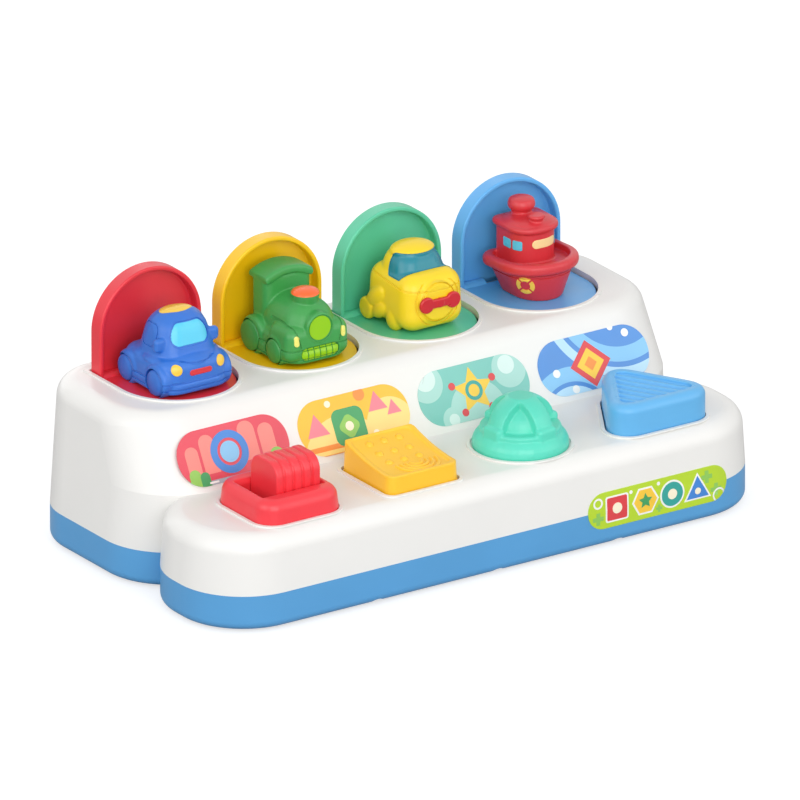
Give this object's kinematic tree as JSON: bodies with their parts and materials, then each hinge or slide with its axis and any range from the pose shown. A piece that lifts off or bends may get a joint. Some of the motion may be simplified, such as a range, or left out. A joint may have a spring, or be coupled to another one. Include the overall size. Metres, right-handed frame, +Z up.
{
  "type": "pop-up toy",
  "caption": "Baby's pop-up toy: a stepped case on a tray with sprung doors that lift small vehicles, freed by a slide, a key, a knob and a push button.",
  "frame": {"origin": "bottom centre of the toy, on the plane of its feet", "axes": "+X to the right along the row of doors, +Y from the controls to the back, +Z up"},
  "size_m": [0.303, 0.1653, 0.1272],
  "materials": {
    "white_shell": "satin white moulding",
    "blue_tray": "satin moulding",
    "red_lid": "satin moulding",
    "yellow_lid": "satin moulding",
    "green_lid": "satin moulding",
    "blue_lid": "satin moulding",
    "car_blue": "moulded, painted details",
    "train_green": "moulded, painted details",
    "submarine_yellow": "moulded, painted details",
    "boat_red": "moulded, painted details",
    "red_control": "satin moulding",
    "yellow_control": "satin moulding",
    "green_control": "satin moulding",
    "blue_control": "satin moulding",
    "inner_plastic": "plain inner moulding",
    "steel": "bright zinc",
    "foot_rubber": "soft grey",
    "sticker_red": "printed film",
    "sticker_yellow": "printed film",
    "sticker_green": "printed film",
    "sticker_blue": "printed film",
    "sticker_lime": "printed film"
  },
  "bodies": {
    "case": {"base_tray": "blue_tray", "top_shell": "white_shell", "feet": "foot_rubber", "case_screws": "steel", "panel_label_1": "sticker_red", "panel_label_2": "sticker_yellow", "panel_label_3": "sticker_green", "panel_label_4": "sticker_blue", "front_label": "sticker_lime", "slide_frame": "red_control", "frame_screws": "steel", "hinge_rod": "steel", "hinge_keepers": "inner_plastic", "keeper_screws": "steel", "leaf_screws": "steel", "rocker_pin": "steel", "release_bridge": "inner_plastic", "bridge_screws": "steel", "door_spring_1": "steel", "catch_leaf_1": "inner_plastic", "release_spring_1": "steel", "door_spring_2": "steel", "catch_leaf_2": "inner_plastic", "release_spring_2": "steel", "door_spring_3": "steel", "catch_leaf_3": "inner_plastic", "release_spring_3": "steel", "door_spring_4": "steel", "catch_leaf_4": "inner_plastic", "release_spring_4": "steel"},
    "red_popup": {"red_door": "red_lid", "car_figure": "car_blue", "car_screws": "steel"},
    "yellow_popup": {"yellow_door": "yellow_lid", "train_figure": "train_green", "train_screws": "steel"},
    "green_popup": {"green_door": "green_lid", "submarine_figure": "submarine_yellow", "submarine_screws": "steel"},
    "blue_popup": {"blue_door": "blue_lid", "boat_figure": "boat_red", "boat_screws": "steel"},
    "slider": {"slide_block": "red_control", "slide_foot": "inner_plastic", "slide_screws": "steel"},
    "rocker": {"rocker_key": "yellow_control"},
    "knob": {"twist_knob": "green_control", "knob_crank": "inner_plastic", "crank_screw": "steel"},
    "button": {"push_button": "blue_control", "button_foot": "inner_plastic", "button_screws": "steel"},
    "release_bar_1": {"release_rod_1": "inner_plastic"},
    "release_bar_2": {"release_rod_2": "inner_plastic"},
    "release_bar_3": {"release_rod_3": "inner_plastic"},
    "release_bar_4": {"release_rod_4": "inner_plastic"}
  },
  "joints": [
    {"name": "red_door_hinge", "type": "hinge", "parent": "case", "child": "red_popup", "pos_m": [-0.099, 0.0575, 0.0762], "axis": [1, 0, 0], "range_deg": [0, 90], "stiffness_Nm_per_rad": 0.05, "springref_deg": -34.38, "deforming": ["door_spring_1", "catch_leaf_1"]},
    {"name": "yellow_door_hinge", "type": "hinge", "parent": "case", "child": "yellow_popup", "pos_m": [-0.033, 0.0575, 0.0762], "axis": [1, 0, 0], "range_deg": [0, 90], "stiffness_Nm_per_rad": 0.05, "springref_deg": -34.38, "deforming": ["door_spring_2", "catch_leaf_2"]},
    {"name": "green_door_hinge", "type": "hinge", "parent": "case", "child": "green_popup", "pos_m": [0.033, 0.0575, 0.0762], "axis": [1, 0, 0], "range_deg": [0, 90], "stiffness_Nm_per_rad": 0.05, "springref_deg": -34.38, "deforming": ["door_spring_3", "catch_leaf_3"]},
    {"name": "blue_door_hinge", "type": "hinge", "parent": "case", "child": "blue_popup", "pos_m": [0.099, 0.0575, 0.0762], "axis": [1, 0, 0], "range_deg": [0, 90], "stiffness_Nm_per_rad": 0.05, "springref_deg": -34.38, "deforming": ["door_spring_4", "catch_leaf_4"]},
    {"name": "slider_slide", "type": "slide", "parent": "case", "child": "slider", "axis": [-1, 0, 0], "range_m": [0, 0.0065], "stiffness_N_per_m": 150, "springref_m": -0.003},
    {"name": "rocker_tip", "type": "hinge", "parent": "case", "child": "rocker", "pos_m": [-0.033, -0.06875, 0.0399], "axis": [-1, 0, 0], "range_deg": [0, 9], "stiffness_Nm_per_rad": 0.25, "springref_deg": -6.88},
    {"name": "knob_turn", "type": "hinge", "parent": "case", "child": "knob", "pos_m": [0.033, -0.0505, 0.0459], "axis": [0, 0, -1], "range_deg": [0, 40], "stiffness_Nm_per_rad": 0.03, "springref_deg": -17.19},
    {"name": "button_press", "type": "slide", "parent": "case", "child": "button", "axis": [0, 0, -1], "range_m": [0, 0.006], "stiffness_N_per_m": 200, "springref_m": -0.004},
    {"name": "release_1_slide", "type": "slide", "parent": "case", "child": "release_bar_1", "axis": [0, -1, 0], "range_m": [0, 0.0065], "deforming": ["release_spring_1"]},
    {"name": "release_2_slide", "type": "slide", "parent": "case", "child": "release_bar_2", "axis": [0, -1, 0], "range_m": [0, 0.0039], "deforming": ["release_spring_2"]},
    {"name": "release_3_slide", "type": "slide", "parent": "case", "child": "release_bar_3", "axis": [0, -1, 0], "range_m": [0, 0.0073], "deforming": ["release_spring_3"]},
    {"name": "release_4_slide", "type": "slide", "parent": "case", "child": "release_bar_4", "axis": [0, -1, 0], "range_m": [0, 0.006], "deforming": ["release_spring_4"]}
  ],
  "couplings": [
    {"joint": "release_1_slide", "follows": "slider_slide", "ratio": 1},
    {"joint": "release_2_slide", "follows": "rocker_tip", "m_per_rad": 0.0244},
    {"joint": "release_3_slide", "follows": "knob_turn", "m_per_rad": 0.010428},
    {"joint": "release_4_slide", "follows": "button_press", "ratio": 1}
  ]
}
